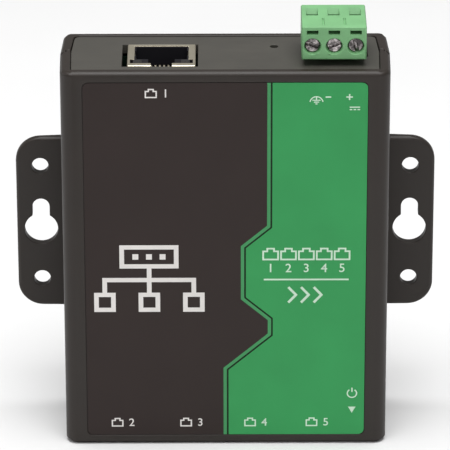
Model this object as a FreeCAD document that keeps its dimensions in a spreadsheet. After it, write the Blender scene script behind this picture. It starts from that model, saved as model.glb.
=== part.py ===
import FreeCAD, Part

import os

import Sketcher

# Five-port network switch in a two-shell wall-mounting case, standing on its bottom end.
# Lengths are in millimetres. X runs to the right of the printed front, Y from the front to the
# rear and Z upwards. The origin is the middle of the bottom end.

SIZES = {
    # Case: two drafted shells that meet at a parting line round the sides
    "case_width": 77.0,
    "case_height": 96.0,
    "case_depth": 25.4,
    "parting_depth": 13.5,
    "front_wall": 2.4,
    "rear_wall": 2.0,
    "side_wall": 2.4,
    "front_draft": 0.3,
    "rear_draft": 0.6,
    "front_edge_round": 3.0,
    "rear_edge_round": 2.0,
    "front_end_chamfer": 1.0,
    "rear_end_chamfer": 0.8,
    "rear_inner_round": 1.5,
    "lip_height": 1.2,
    "lip_thickness": 1.0,
    "lip_clearance": 0.15,
    # Printed film in a shallow recess of the front
    "label_side_margin": 5.5,
    "label_end_margin": 2.5,
    "label_thickness": 0.25,
    "label_recess": 0.35,
    "label_round": 1.4,
    "label_clearance": 0.1,
    # Wall ears at the rear, each with two round holes and a keyhole
    "ear_span": 100.0,
    "ear_height": 44.0,
    "ear_thickness": 2.4,
    "ear_round": 6.0,
    "ear_hole_radius": 2.0,
    "ear_hole_margin": 5.8,
    "ear_hole_pitch": 29.5,
    "keyhole_radius": 4.0,
    "keyhole_drop": 1.7,
    "keyhole_slot_width": 4.1,
    "keyhole_slot_rise": 5.8,
    # End panels, stepped, with a flange in a groove of both shells
    "panel_recess": 0.2,
    "panel_thickness": 2.4,
    "flange_thickness": 1.2,
    "flange_reach": 1.0,
    "panel_clearance": 0.15,
    "cutout_side_gap": 0.9,
    "cutout_shift": -0.35,
    "cutout_gap": 0.2,
    "plug_cutout_left": 0.2,
    "plug_cutout_right": 0.5,
    "pinhole_x": 11.5,
    "pinhole_depth": 17.0,
    "pinhole_radius": 0.95,
    # Two screws from the rear: pillars of the rear shell, bosses of the front shell
    "pillar_side_distance": 9.5,
    "pillar_z": 44.0,
    "pillar_side": 8.0,
    "boss_side": 6.4,
    "case_screw_seat": 1.2,
    "case_screw_radius": 1.5,
    "case_screw_head_radius": 2.7,
    "case_screw_head_height": 1.6,
    "case_screw_length": 12.0,
    "screw_clearance": 0.2,
    "thread_clearance": 0.05,
    "blind_hole_rest": 0.3,
    # Circuit board, clamped between pillars and bosses, with a rest under each corner
    "board_thickness": 1.6,
    "board_side_gap": 0.8,
    "board_end_gap": 0.7,
    "rest_side": 5.0,
    "rest_inset": 1.5,
    # Network jacks: a sheet-metal shell round a moulded insert, one alone and four in a row
    "jack_width": 15.9,
    "jack_height": 13.35,
    "jack_depth": 16.5,
    "jack_front_gap": 2.45,
    "jack_set_back": 0.1,
    "shield_thickness": 0.25,
    "port_1_x": -14.8,
    "port_block_x": -0.5,
    "port_pitch": 14.0,
    "mouth_width": 11.9,
    "mouth_height": 7.2,
    "mouth_depth": 12.5,
    "mouth_board_margin": 1.6,
    "mouth_rim": 0.35,
    "shield_front_band": 1.65,
    "shield_notch_width": 4.9,
    "latch_width": 6.2,
    "latch_depth": 8.0,
    "latch_cut": 1.2,
    "jack_front_wall": 1.2,
    "jack_led_width": 2.0,
    "jack_led_height": 2.0,
    "jack_led_length": 6.0,
    "jack_led_front": 1.75,
    "jack_led_side_gap": 0.6,
    "jack_led_side_margin": 0.75,
    "port_block_led_gap": 1.0,
    "jack_led_gap": 0.1,
    "side_spring_height": 3.0,
    "side_spring_length": 4.0,
    "side_spring_bulge": 0.6,
    "contact_pitch": 1.02,
    "contact_width": 0.4,
    "contact_thickness": 0.3,
    "contact_set_back": 4.8,
    "contact_lead": 0.25,
    "contact_bend": 1.2,
    "contact_reach": 5.6,
    "contact_lift": 2.0,
    "comb_depth": 0.4,
    # Pluggable screw terminal on the supply header
    "plug_x": 25.2,
    "pole_pitch": 5.0,
    "plug_set_back": 4.2,
    "plug_depth": 14.3,
    "plug_lift": 1.5,
    "plug_height": 8.2,
    "plug_edge_chamfer": 0.3,
    "clamp_height": 3.3,
    "nose_length": 8.2,
    "nose_clearance": 0.15,
    "header_height": 7.4,
    "header_end_inset": 0.6,
    "header_wall": 1.05,
    "header_floor": 3.5,
    "header_rise": 1.3,
    "header_cavity_gap": 0.4,
    "pin_size": 1.0,
    "pin_height": 4.05,
    "pin_stand_off": 1.2,
    "pin_tip_depth": 0.6,
    "pin_tail": 0.8,
    "pin_fit_gap": 0.05,
    "tongue_thickness": 0.8,
    "tongue_rise": 2.0,
    "leaf_thickness": 0.3,
    "leaf_end_gap": 1.0,
    "bridge_rise": 0.4,
    "bridge_height": 0.6,
    "socket_clearance": 0.1,
    "cage_length": 4.2,
    "cage_side": 0.5,
    "cage_front": 1.3,
    "cage_rear": 0.8,
    "cage_window": 3.3,
    "cage_gap": 0.15,
    "cage_travel": 1.75,
    "wire_space": 1.9,
    "wire_entry_width": 2.7,
    "wire_entry_depth": 3.6,
    "wire_entry_slope": 0.9,
    "wire_entry_set_back": 7.4,
    "probe_slot_width": 2.65,
    "probe_slot_height": 0.95,
    "probe_slot_reach": 1.6,
    "probe_slot_drop": 1.0,
    "pole_groove_width": 0.5,
    "pole_groove_depth": 0.5,
    "pole_groove_length": 4.1,
    "pole_groove_set_back": 1.5,
    "clamp_screw_recess": 1.0,
    "clamp_screw_head_radius": 1.7,
    "clamp_screw_head_height": 1.6,
    "clamp_screw_radius": 1.25,
    "clamp_screw_tip_gap": 0.25,
    "clamp_slot_width": 0.8,
    "clamp_slot_depth": 0.9,
    "clamp_seat_gap": 0.05,
    "clamp_turn_left": 20.0,
    "clamp_turn_middle": -23.0,
    "clamp_turn_right": 78.0,
    # Supply lamp behind the bottom panel
    "power_led_side_distance": 7.3,
    "power_led_radius": 1.5,
    "power_led_length": 5.0,
    "power_led_set_back": 0.4,
    "power_led_gap": 0.2,
    "led_holder_width": 4.2,
    "led_holder_depth": 4.6,
    "led_holder_height": 4.4,
    "led_axis_height": 2.2,
    # Circuit parts on the face of the board
    "switch_chip_side": 14.0,
    "switch_chip_height": 1.0,
    "switch_chip_z": 52.0,
    "transformer_width": 12.4,
    "transformer_length": 9.0,
    "transformer_height": 5.8,
    "transformer_gap": 10.0,
    "transformer_1_gap": 4.0,
    "crystal_width": 11.0,
    "crystal_length": 4.6,
    "crystal_height": 3.6,
    "crystal_x": -18.0,
    "crystal_z": 52.0,
    "inductor_side": 7.3,
    "inductor_height": 4.0,
    "inductor_x": 16.0,
    "inductor_drop": 34.0,
    "regulator_width": 5.0,
    "regulator_length": 4.0,
    "regulator_height": 1.5,
    "regulator_x": 24.0,
    "regulator_drop": 34.0,
    "fuse_width": 4.6,
    "fuse_length": 3.2,
    "fuse_height": 1.2,
    "fuse_x": 21.0,
    "fuse_drop": 17.5,
    "capacitor_width": 4.3,
    "capacitor_length": 7.3,
    "capacitor_height": 2.9,
    "capacitor_x": 8.0,
    "capacitor_pitch": 6.5,
    "capacitor_drop": 23.0,
}

CONTACTS_PER_PORT = 8
POLES = {"left": -1, "middle": 0, "right": 1}
TOLERANCE = 0.001


class Size:
    """A length that carries its formula in terms of the sheet's cells and its present value."""

    def __init__(self, text, value):
        self.text = text
        self.value = value

    def __add__(self, other):
        other = as_size(other)
        return Size(f"({self.text} + {other.text})", self.value + other.value)

    def __sub__(self, other):
        other = as_size(other)
        return Size(f"({self.text} - {other.text})", self.value - other.value)

    def __mul__(self, factor):
        factor = as_size(factor)
        return Size(f"({self.text} * {factor.text})", self.value * factor.value)

    def __truediv__(self, divisor):
        divisor = as_size(divisor)
        return Size(f"({self.text} / {divisor.text})", self.value / divisor.value)

    def __neg__(self):
        return self * -1

    __radd__ = __add__
    __rmul__ = __mul__


def as_size(value):
    """The value itself if it is a Size, or a plain number as one."""
    return value if isinstance(value, Size) else Size(f"({value})", value)


class Sheet:
    """The spreadsheet of driving dimensions, each read as an attribute of this object."""

    def __init__(self, document, sizes):
        cells = document.addObject("Spreadsheet::Sheet", "sizes")
        for row, (alias, value) in enumerate(sizes.items(), start=1):
            cells.set(f"A{row}", alias)
            cells.set(f"B{row}", str(value))
            cells.setAlias(f"B{row}", alias)
            setattr(self, alias, Size(f"sizes.{alias}", value))


doc = FreeCAD.newDocument("network_switch")
size = Sheet(doc, SIZES)
doc.recompute()
pieces = []


def bind(thing, settings):
    """Tie each named property of a feature to its formula."""
    for path, length in settings.items():
        thing.setExpression(path, as_size(length).text)


def new_body(label):
    """An empty body for one physical piece."""
    piece = doc.addObject("PartDesign::Body", label)
    piece.Label = label
    pieces.append(piece)
    return piece


def origin_feature(piece, role):
    """A plane or axis of a body's own origin."""
    return next(part for part in piece.Origin.OriginFeatures if part.Role == role)


def new_sketch(piece, role, shift=0):
    """A sketch on one of the body's planes, moved along that plane's normal."""
    sketch = piece.newObject("Sketcher::SketchObject", "profile")
    sketch.AttachmentSupport = (origin_feature(piece, role), [""])
    sketch.MapMode = "FlatFace"
    bind(sketch, {"AttachmentOffset.Base.z": shift})
    return sketch


def plan_sketch(piece, z):
    """A sketch in X and Y at height z; a pad on it rises."""
    return new_sketch(piece, "XY_Plane", z)


def front_sketch(piece, y):
    """A sketch in X and Z at depth y; a pad on it comes towards the front."""
    return new_sketch(piece, "XZ_Plane", -as_size(y))


def side_sketch(piece, x):
    """A sketch in Y and Z at place x; a pad on it goes to the right."""
    return new_sketch(piece, "YZ_Plane", x)


def pin_point(sketch, shape, end, across, up):
    """Hold one point of a sketched shape at a place measured from the sketch's origin."""
    for kind, length in (("DistanceX", across), ("DistanceY", up)):
        index = sketch.addConstraint(Sketcher.Constraint(kind, -1, 1, shape, end, length.value))
        bind(sketch, {f"Constraints[{index}]": length})


def polygon(sketch, corners):
    """A closed outline of straight lines through the corners."""
    corners = [(as_size(across), as_size(up)) for across, up in corners]
    places = [FreeCAD.Vector(across.value, up.value, 0) for across, up in corners]
    first = sketch.GeometryCount
    count = len(corners)
    for index in range(count):
        line = Part.LineSegment(places[index], places[(index + 1) % count])
        sketch.addGeometry(line, False)
    for index, (across, up) in enumerate(corners):
        following = (index + 1) % count
        sketch.addConstraint(Sketcher.Constraint("Coincident", first + index, 2, first + following, 1))
        pin_point(sketch, first + index, 1, across, up)


def rectangle(sketch, left, low, right, high):
    """A rectangle between two opposite corners."""
    polygon(sketch, [(left, low), (right, low), (right, high), (left, high)])


def circle(sketch, across, up, radius):
    """A circle about a point."""
    across, up, radius = as_size(across), as_size(up), as_size(radius)
    centre = FreeCAD.Vector(across.value, up.value, 0)
    shape = sketch.addGeometry(Part.Circle(centre, FreeCAD.Vector(0, 0, 1), radius.value), False)
    index = sketch.addConstraint(Sketcher.Constraint("Radius", shape, radius.value))
    bind(sketch, {f"Constraints[{index}]": radius})
    pin_point(sketch, shape, 3, across, up)


def volume(piece):
    """The volume that a body has so far."""
    return 0 if piece.Shape.isNull() else piece.Shape.Volume


def extrude(piece, kind, sketch, length, back, midplane):
    """A pad or pocket of a sketch over a length, which has to change the body's volume."""
    before = volume(piece)
    feature = piece.newObject(f"PartDesign::{kind}", kind.lower())
    feature.Profile = sketch
    feature.Reversed = back
    feature.Midplane = midplane
    bind(feature, {"Length": length})
    doc.recompute()
    if abs(volume(piece) - before) < TOLERANCE:
        raise RuntimeError(f"{piece.Label}: a {kind} changes nothing")
    return feature


def pad(piece, sketch, length, back=False, midplane=False):
    """Material over a sketch, along its normal or back from it."""
    return extrude(piece, "Pad", sketch, length, back, midplane)


def pocket(piece, sketch, length, back=False, midplane=False):
    """A cut from a sketch against its normal, along the normal where back is true, or both ways."""
    return extrude(piece, "Pocket", sketch, length, back, midplane)


def close(value, length):
    """Whether a coordinate lies at a length."""
    return abs(value - as_size(length).value) < TOLERANCE


def soften(piece, radius, choose, kind="Fillet"):
    """A fillet, or a chamfer, on the edges that choose() accepts by their boxes."""
    base = piece.Tip
    edges = enumerate(base.Shape.Edges, start=1)
    names = [f"Edge{number}" for number, edge in edges if choose(edge.BoundBox)]
    if not names:
        raise RuntimeError(f"{piece.Label}: no edge to soften")
    feature = piece.newObject(f"PartDesign::{kind}", kind.lower())
    feature.Base = (base, names)
    bind(feature, {"Radius" if kind == "Fillet" else "Size": radius})
    doc.recompute()
    if not feature.isValid():
        raise RuntimeError(f"{piece.Label}: a {kind} fails")


def row_pattern(piece, feature, pitch, count):
    """Copies of a feature in a row along X."""
    pattern = piece.newObject("PartDesign::LinearPattern", "row")
    pattern.Originals = [feature]
    pattern.Direction = (origin_feature(piece, "X_Axis"), [""])
    pattern.Occurrences = count
    bind(pattern, {"Length": pitch * (count - 1)})
    piece.Tip = pattern
    doc.recompute()


def mirrored(corners):
    """An outline symmetrical about X = 0, from its corners on the right in order."""
    return corners + [(-across, up) for across, up in reversed(corners)]


# Levels of the case

FRONT = -size.case_depth / 2
REAR = size.case_depth / 2
TOP = size.case_height
MIDDLE = size.case_height / 2
PARTING = FRONT + size.parting_depth
INNER_FRONT = FRONT + size.front_wall
INNER_REAR = REAR - size.rear_wall
HALF = size.case_width / 2
FRONT_HALF = HALF - size.front_draft
REAR_HALF = HALF - size.rear_draft
JACK_FRONT = INNER_FRONT + size.jack_front_gap
BOARD_FACE = JACK_FRONT + size.jack_height
BOARD_BACK = BOARD_FACE + size.board_thickness
SCREW_SEAT = BOARD_BACK + size.case_screw_seat
PANEL_DEPTH = size.panel_recess + size.panel_thickness
BOARD_LOW = PANEL_DEPTH + size.board_end_gap
BOARD_HALF = HALF - size.side_wall - size.rear_draft - size.board_side_gap
LABEL_HALF_WIDTH = HALF - size.label_side_margin
LABEL_HALF_HEIGHT = MIDDLE - size.label_end_margin
PILLARS = [(side * (HALF - size.pillar_side_distance), size.pillar_z) for side in (-1, 1)]
SHANK_ROOM = size.case_screw_radius + size.screw_clearance
REST_INSET = size.rest_inset + size.rest_side / 2
RESTS = [
    (side * (BOARD_HALF - REST_INSET), height)
    for side in (-1, 1)
    for height in (BOARD_LOW + REST_INSET, TOP - BOARD_LOW - REST_INSET)
]


def circles(piece, y, places, radius):
    """A front sketch with one circle at each place."""
    sketch = front_sketch(piece, y)
    for across, up in places:
        circle(sketch, across, up, radius)
    return sketch


def squares(piece, y, places, side):
    """A front sketch with one square about each place."""
    sketch = front_sketch(piece, y)
    for across, up in places:
        rectangle(sketch, across - side / 2, up - side / 2, across + side / 2, up + side / 2)
    return sketch


def bay_outline(grow):
    """The inside of the case in plan, with every wall moved outwards by a distance."""
    return mirrored([
        (HALF - size.side_wall - size.front_draft + grow, INNER_FRONT - grow),
        (HALF - size.side_wall + grow, PARTING),
        (HALF - size.side_wall - size.rear_draft + grow, INNER_REAR + grow),
    ])


def cut_panel_grooves(piece):
    """The groove at each end that takes the flange of an end panel."""
    groove = size.flange_thickness + 2 * size.panel_clearance
    for low in (PANEL_DEPTH - size.flange_thickness, TOP - PANEL_DEPTH):
        sketch = plan_sketch(piece, low - size.panel_clearance)
        polygon(sketch, bay_outline(size.flange_reach + size.panel_clearance))
        pocket(piece, sketch, groove, back=True)


def is_end(box):
    """Whether an edge lies in one of the two end planes of the case."""
    return close(box.ZMax, 0) or close(box.ZMin, TOP)


def make_front_cover():
    """Front shell: a channel with a lip, a label recess and two screw bosses."""
    piece = new_body("front_cover")
    section = plan_sketch(piece, 0)
    inner = HALF - size.side_wall
    lip_outer = inner + size.lip_thickness
    lip_end = PARTING + size.lip_height
    polygon(section, mirrored([
        (FRONT_HALF, FRONT),
        (HALF, PARTING),
        (lip_outer, PARTING),
        (lip_outer, lip_end),
        (inner, lip_end),
        (inner - size.front_draft, INNER_FRONT),
    ]))
    pad(piece, section, TOP)
    soften(piece, size.front_edge_round,
           lambda box: box.ZLength > 1 and close(box.YMax, FRONT))
    soften(piece, size.front_end_chamfer,
           lambda box: is_end(box) and (close(box.YMin, FRONT) or close(max(box.XMax, -box.XMin), HALF))
           and not close(box.YMin, PARTING), kind="Chamfer")
    cut_panel_grooves(piece)
    recess = front_sketch(piece, FRONT)
    half_width = LABEL_HALF_WIDTH + size.label_clearance
    half_height = LABEL_HALF_HEIGHT + size.label_clearance
    rectangle(recess, -half_width, MIDDLE - half_height, half_width, MIDDLE + half_height)
    pocket(piece, recess, size.label_recess)
    soften(piece, size.label_round,
           lambda box: close(box.YMin, FRONT) and close(box.YMax, FRONT + size.label_recess)
           and close(box.YLength, size.label_recess) and box.XLength < TOLERANCE)
    pad(piece, squares(piece, BOARD_FACE, PILLARS, size.boss_side), BOARD_FACE - INNER_FRONT)
    thread_end = SCREW_SEAT - size.case_screw_length - size.blind_hole_rest
    threads = circles(piece, BOARD_FACE, PILLARS, size.case_screw_radius + size.thread_clearance)
    pocket(piece, threads, BOARD_FACE - thread_end, back=True)


def make_rear_base():
    """Rear shell: a channel with wall ears, two screw pillars and four board rests."""
    piece = new_body("rear_base")
    make_ears(piece)
    section = plan_sketch(piece, 0)
    rebate = HALF - size.side_wall + size.lip_thickness + size.lip_clearance
    rebate_end = PARTING + size.lip_height + size.lip_clearance
    polygon(section, mirrored([
        (HALF - size.side_wall - size.rear_draft, INNER_REAR),
        (HALF - size.side_wall, rebate_end),
        (rebate, rebate_end),
        (rebate, PARTING),
        (HALF, PARTING),
        (REAR_HALF, REAR),
    ]))
    pad(piece, section, TOP)
    soften(piece, size.rear_edge_round,
           lambda box: close(box.YMin, REAR) and close(max(box.XMax, -box.XMin), REAR_HALF)
           and box.ZLength > 1 and (close(box.ZMin, 0) or close(box.ZMax, TOP)))
    soften(piece, size.rear_inner_round,
           lambda box: box.ZLength > 1 and close(box.YMin, INNER_REAR) and box.YLength < TOLERANCE)
    soften(piece, size.rear_end_chamfer,
           lambda box: is_end(box) and (close(box.YMax, REAR) or close(max(box.XMax, -box.XMin), HALF))
           and not close(box.YMax, PARTING), kind="Chamfer")
    cut_panel_grooves(piece)
    pad(piece, squares(piece, BOARD_BACK, PILLARS, size.pillar_side), INNER_REAR - BOARD_BACK, back=True)
    pad(piece, squares(piece, BOARD_BACK, RESTS, size.rest_side), INNER_REAR - BOARD_BACK, back=True)
    head_room = size.case_screw_head_radius + size.screw_clearance
    pocket(piece, circles(piece, REAR, PILLARS, head_room), REAR - SCREW_SEAT, back=True)
    pocket(piece, circles(piece, BOARD_BACK, PILLARS, SHANK_ROOM), size.case_screw_seat)


def make_ears(piece):
    """The two wall ears, flush with the rear, with their round holes and keyholes."""
    middle = REAR - size.ear_thickness / 2
    root = REAR_HALF - size.side_wall / 2
    for side in (-1, 1):
        outline = front_sketch(piece, REAR)
        polygon(outline, [
            (side * root, MIDDLE - size.ear_height / 2),
            (side * size.ear_span / 2, MIDDLE - size.ear_height / 2),
            (side * size.ear_span / 2, MIDDLE + size.ear_height / 2),
            (side * root, MIDDLE + size.ear_height / 2),
        ])
        pad(piece, outline, size.ear_thickness)
    soften(piece, size.ear_round,
           lambda box: close(max(box.XMax, -box.XMin), size.ear_span / 2)
           and close(box.YLength, size.ear_thickness) and box.ZLength < TOLERANCE)
    across = size.ear_span / 2 - size.ear_hole_margin
    holes = [
        (side * across, MIDDLE + rank * size.ear_hole_pitch / 2)
        for side in (-1, 1)
        for rank in (-1, 1)
    ]
    entry = MIDDLE - size.keyhole_drop
    slot_end = entry + size.keyhole_slot_rise
    slot_half = size.keyhole_slot_width / 2
    entries = [(side * across, entry) for side in (-1, 1)]
    slot_ends = [(side * across, slot_end) for side in (-1, 1)]
    slots = front_sketch(piece, middle)
    for side in (-1, 1):
        rectangle(slots, side * across - slot_half, entry, side * across + slot_half, slot_end)
    for cut in (
        circles(piece, middle, holes, size.ear_hole_radius),
        circles(piece, middle, entries, size.keyhole_radius),
        slots,
        circles(piece, middle, slot_ends, slot_half),
    ):
        pocket(piece, cut, 2 * size.ear_thickness, midplane=True)


def make_label():
    """Printed film that lies on the floor of the front recess."""
    piece = new_body("front_label")
    outline = front_sketch(piece, FRONT + size.label_recess)
    rectangle(outline, -LABEL_HALF_WIDTH, MIDDLE - LABEL_HALF_HEIGHT,
              LABEL_HALF_WIDTH, MIDDLE + LABEL_HALF_HEIGHT)
    pad(piece, outline, size.label_thickness)
    soften(piece, size.label_round, lambda box: close(box.YLength, size.label_thickness))


def jack_block_width():
    """Overall width of the four jacks in a row."""
    return 3 * size.port_pitch + size.jack_width


HEADER_FRONT = BOARD_FACE - size.header_height
PLUG_WIDTH = len(POLES) * size.pole_pitch
HEADER_WIDTH = PLUG_WIDTH - 2 * size.header_end_inset
LED_AXIS = BOARD_FACE - size.led_axis_height
POWER_LED_X = HALF - size.power_led_side_distance


def make_end_panel(label, outer, down, cut_openings):
    """Stepped plate whose outer face is at a height, with its flange towards the inside."""
    piece = new_body(label)
    inner = outer - down * size.panel_thickness
    flange = plan_sketch(piece, inner)
    polygon(flange, bay_outline(size.flange_reach))
    pad(piece, flange, size.flange_thickness, back=down < 0)
    step = plan_sketch(piece, inner)
    polygon(step, bay_outline(-size.panel_clearance))
    pad(piece, step, size.panel_thickness, back=down < 0)
    rear_corner = INNER_REAR - size.panel_clearance
    soften(piece, size.rear_inner_round,
           lambda box: close(box.YMax, rear_corner) and box.YLength < TOLERANCE
           and close(box.ZLength, size.panel_thickness - size.flange_thickness))
    openings = plan_sketch(piece, inner)
    cut_openings(openings)
    pocket(piece, openings, size.panel_thickness, back=down > 0)


def cut_top_openings(openings):
    """Openings for the single jack and the supply header, and a pinhole."""
    half = size.jack_width / 2 + size.cutout_side_gap
    centre = size.port_1_x + size.cutout_shift
    rectangle(openings, centre - half, JACK_FRONT - size.cutout_gap,
              centre + half, BOARD_FACE + size.cutout_gap)
    half = PLUG_WIDTH / 2
    rectangle(openings, size.plug_x - half + size.plug_cutout_left, HEADER_FRONT - size.cutout_gap,
              size.plug_x + half + size.plug_cutout_right, BOARD_FACE + size.cutout_gap)
    circle(openings, size.pinhole_x, FRONT + size.pinhole_depth, size.pinhole_radius)


def cut_bottom_openings(openings):
    """Openings for the row of four jacks and for the supply lamp."""
    half = jack_block_width() / 2 + size.cutout_gap
    rectangle(openings, size.port_block_x - half, JACK_FRONT - size.cutout_gap,
              size.port_block_x + half, BOARD_FACE + size.cutout_gap)
    circle(openings, POWER_LED_X, LED_AXIS, size.power_led_radius + size.power_led_gap)


PLUG_FRONT = FRONT + size.plug_set_back
PLUG_LOW = TOP + size.plug_lift
PLUG_HIGH = PLUG_LOW + size.plug_height
CLAMP_Z = PLUG_LOW + size.clamp_height
HEADER_TOP = TOP + size.header_rise
NOSE_END = PLUG_LOW - size.nose_length
CAVITY_FLOOR = NOSE_END - size.header_cavity_gap
HEADER_LOW = CAVITY_FLOOR - size.header_floor
PIN_Y = BOARD_FACE - size.pin_height
PIN_DROP_Z = HEADER_LOW - size.pin_stand_off


def pole_places():
    """The middle of each terminal in X."""
    return [size.plug_x + rank * size.pole_pitch for rank in POLES.values()]


def make_board():
    """Circuit board with openings for the case screws and the header's pins."""
    piece = new_body("circuit_board")
    outline = front_sketch(piece, BOARD_BACK)
    rectangle(outline, -BOARD_HALF, BOARD_LOW, BOARD_HALF, TOP - BOARD_LOW)
    for across, up in PILLARS:
        circle(outline, across, up, SHANK_ROOM)
    pin_half = size.pin_size / 2 + size.pin_fit_gap
    for across in pole_places():
        rectangle(outline, across - pin_half, PIN_DROP_Z - pin_half,
                  across + pin_half, PIN_DROP_Z + pin_half)
    pad(piece, outline, size.board_thickness)


def make_case_screws():
    """The two screws that hold the shells together, with their heads in the pillars."""
    piece = new_body("case_screws")
    heads = circles(piece, SCREW_SEAT, PILLARS, size.case_screw_head_radius)
    pad(piece, heads, size.case_screw_head_height, back=True)
    pad(piece, circles(piece, SCREW_SEAT, PILLARS, size.case_screw_radius), size.case_screw_length)


def make_jack(prefix, ports, centre, width, face, down, led_spacing):
    """A jack or a row of them: shell, insert, springs and lamps; ports maps numbers to places."""

    def inside(depth):
        return face - down * depth

    away = down > 0
    thickness = size.shield_thickness
    left, right = centre - width / 2, centre + width / 2
    mouth_rear = BOARD_FACE - size.mouth_board_margin
    mouth_front = mouth_rear - size.mouth_height
    led_front = JACK_FRONT + size.jack_led_front
    led_rear = led_front + size.jack_led_height
    led_half = size.jack_led_width / 2
    lamp_places = {
        (port, side): ports[port] + sign * led_spacing / 2
        for port in ports
        for side, sign in (("left", -1), ("right", 1))
    }
    window_half = (size.jack_led_width + size.jack_led_side_gap) / 2
    window_places = [
        middle + sign * (led_spacing + size.jack_led_side_gap) / 2
        for middle in ports.values()
        for sign in (-1, 1)
    ]

    def cut_row(piece, depth, start, half, front, rear, middles):
        """The same rectangular cut at each of several places along X."""
        sketch = plan_sketch(piece, inside(start))
        for middle in middles:
            rectangle(sketch, middle - half, front, middle + half, rear)
        pocket(piece, sketch, depth, back=not away)

    shield = new_body(f"{prefix}_shield")
    outline = plan_sketch(shield, face)
    rectangle(outline, left, JACK_FRONT, right, BOARD_FACE)
    pad(shield, outline, size.jack_depth, back=away)
    hollow = plan_sketch(shield, inside(thickness))
    rectangle(hollow, left + thickness, JACK_FRONT + thickness, right - thickness, BOARD_FACE)
    pocket(shield, hollow, size.jack_depth - 2 * thickness, back=not away)
    band_rear = JACK_FRONT + size.shield_front_band
    edge = size.mouth_width / 2 + size.mouth_rim
    cut_row(shield, thickness, 0, edge, band_rear, mouth_rear + size.mouth_rim, ports.values())
    cut_row(shield, size.latch_cut, 0, size.shield_notch_width / 2, JACK_FRONT, band_rear, ports.values())
    gap = size.jack_led_gap
    cut_row(shield, thickness, 0, window_half + gap, led_front - gap, led_rear + gap, window_places)
    for middle in ports.values():
        for sign in (-1, 1):
            spring = front_sketch(shield, (mouth_front + mouth_rear) / 2)
            polygon(spring, [
                (middle + sign * edge, face),
                (middle + sign * (edge + thickness), face),
                (middle + sign * (edge + thickness), inside(thickness)),
                (middle + sign * (edge + thickness - size.side_spring_bulge),
                 inside(size.side_spring_length)),
                (middle + sign * (edge - size.side_spring_bulge), inside(size.side_spring_length)),
            ])
            pad(shield, spring, size.side_spring_height, midplane=True)

    housing = new_body(f"{prefix}_housing")
    block = plan_sketch(housing, inside(thickness))
    rectangle(block, left + thickness, JACK_FRONT + thickness, right - thickness, BOARD_FACE)
    pad(housing, block, size.jack_depth - 2 * thickness, back=away)
    cut_row(housing, size.mouth_depth, thickness, size.mouth_width / 2, mouth_front, mouth_rear,
            ports.values())
    latch_front = JACK_FRONT + size.jack_front_wall
    cut_row(housing, size.latch_depth, thickness, size.latch_width / 2, latch_front, mouth_front,
            ports.values())
    cut_row(housing, size.latch_cut, thickness, size.shield_notch_width / 2, JACK_FRONT + thickness,
            latch_front, ports.values())
    comb_half = ((CONTACTS_PER_PORT - 1) * size.contact_pitch + 2 * size.contact_width) / 2
    comb_start = size.contact_set_back - size.contact_lead
    cut_row(housing, thickness + size.mouth_depth - comb_start, comb_start, comb_half,
            mouth_rear, mouth_rear + size.comb_depth, ports.values())
    cut_row(housing, size.jack_led_length, thickness, window_half, led_front, led_rear, window_places)
    relief_half = (size.side_spring_height + gap) / 2
    relief_middle = (mouth_front + mouth_rear) / 2
    relief_edge = edge + thickness + gap
    relief = plan_sketch(housing, inside(thickness))
    for middle in ports.values():
        for sign in (-1, 1):
            rectangle(relief, middle + sign * size.mouth_width / 2, relief_middle - relief_half,
                      middle + sign * relief_edge, relief_middle + relief_half)
    pocket(housing, relief, size.side_spring_length, back=not away)

    for port, middle in ports.items():
        make_contacts(f"port_{port}_contacts", middle, mouth_rear + size.comb_depth, inside)
    for (port, side), middle in lamp_places.items():
        lamp = new_body(f"port_{port}_{side}_led")
        window = plan_sketch(lamp, face)
        rectangle(window, middle - led_half, led_front, middle + led_half, led_rear)
        pad(lamp, window, size.jack_led_length + thickness, back=away)


def make_contacts(label, middle, floor, inside):
    """Eight hairpin springs that lie in the comb and rise from its floor into the mouth."""
    piece = new_body(label)
    row_half = (CONTACTS_PER_PORT - 1) * size.contact_pitch / 2
    profile = side_sketch(piece, middle - row_half)
    depth = size.contact_set_back
    end = size.mouth_depth + size.shield_thickness
    thick = size.contact_thickness
    tip = floor - size.comb_depth - size.contact_lift
    tip_depth = depth + size.contact_reach
    polygon(profile, [
        (floor, inside(end)),
        (floor, inside(depth)),
        (tip, inside(tip_depth)),
        (tip + thick, inside(tip_depth + thick)),
        (floor - thick, inside(depth + size.contact_bend)),
        (floor - thick, inside(end)),
    ])
    first = pad(piece, profile, size.contact_width, midplane=True)
    row_pattern(piece, first, size.contact_pitch, CONTACTS_PER_PORT)


NOSE_FRONT = HEADER_FRONT + size.header_wall + size.nose_clearance
NOSE_REAR = BOARD_FACE - size.header_wall - size.nose_clearance
TONGUE_REAR = PIN_Y - size.pin_size / 2 - size.pin_fit_gap
TONGUE_FRONT = TONGUE_REAR - size.tongue_thickness
LEAF_FRONT = PIN_Y + size.pin_size / 2 + size.pin_fit_gap
LEAF_REAR = LEAF_FRONT + size.leaf_thickness
LEAF_END = NOSE_END + size.leaf_end_gap
PIN_TIP = TOP - size.pin_tip_depth
CAGE_WINDOW_REAR = TONGUE_REAR + size.wire_space
CAGE_WINDOW_FRONT = CAGE_WINDOW_REAR - size.cage_window
CAGE_FRONT = CAGE_WINDOW_FRONT - size.cage_front
CAGE_REAR = CAGE_WINDOW_REAR + size.cage_rear
WINDOW_HALF = size.clamp_screw_radius + size.cage_gap
TONGUE_HALF = WINDOW_HALF - size.socket_clearance
CAGE_HALF = WINDOW_HALF + size.cage_side
CHAMBER_FRONT = CAGE_FRONT - size.cage_travel - size.cage_gap
CHAMBER_HALF = CAGE_HALF + size.cage_gap
CHAMBER_LOW = CLAMP_Z - size.cage_length / 2 - size.cage_gap
CHAMBER_HIGH = CLAMP_Z + size.cage_length / 2 + size.cage_gap
SCREW_HEAD_Y = PLUG_FRONT + size.clamp_screw_recess
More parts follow.
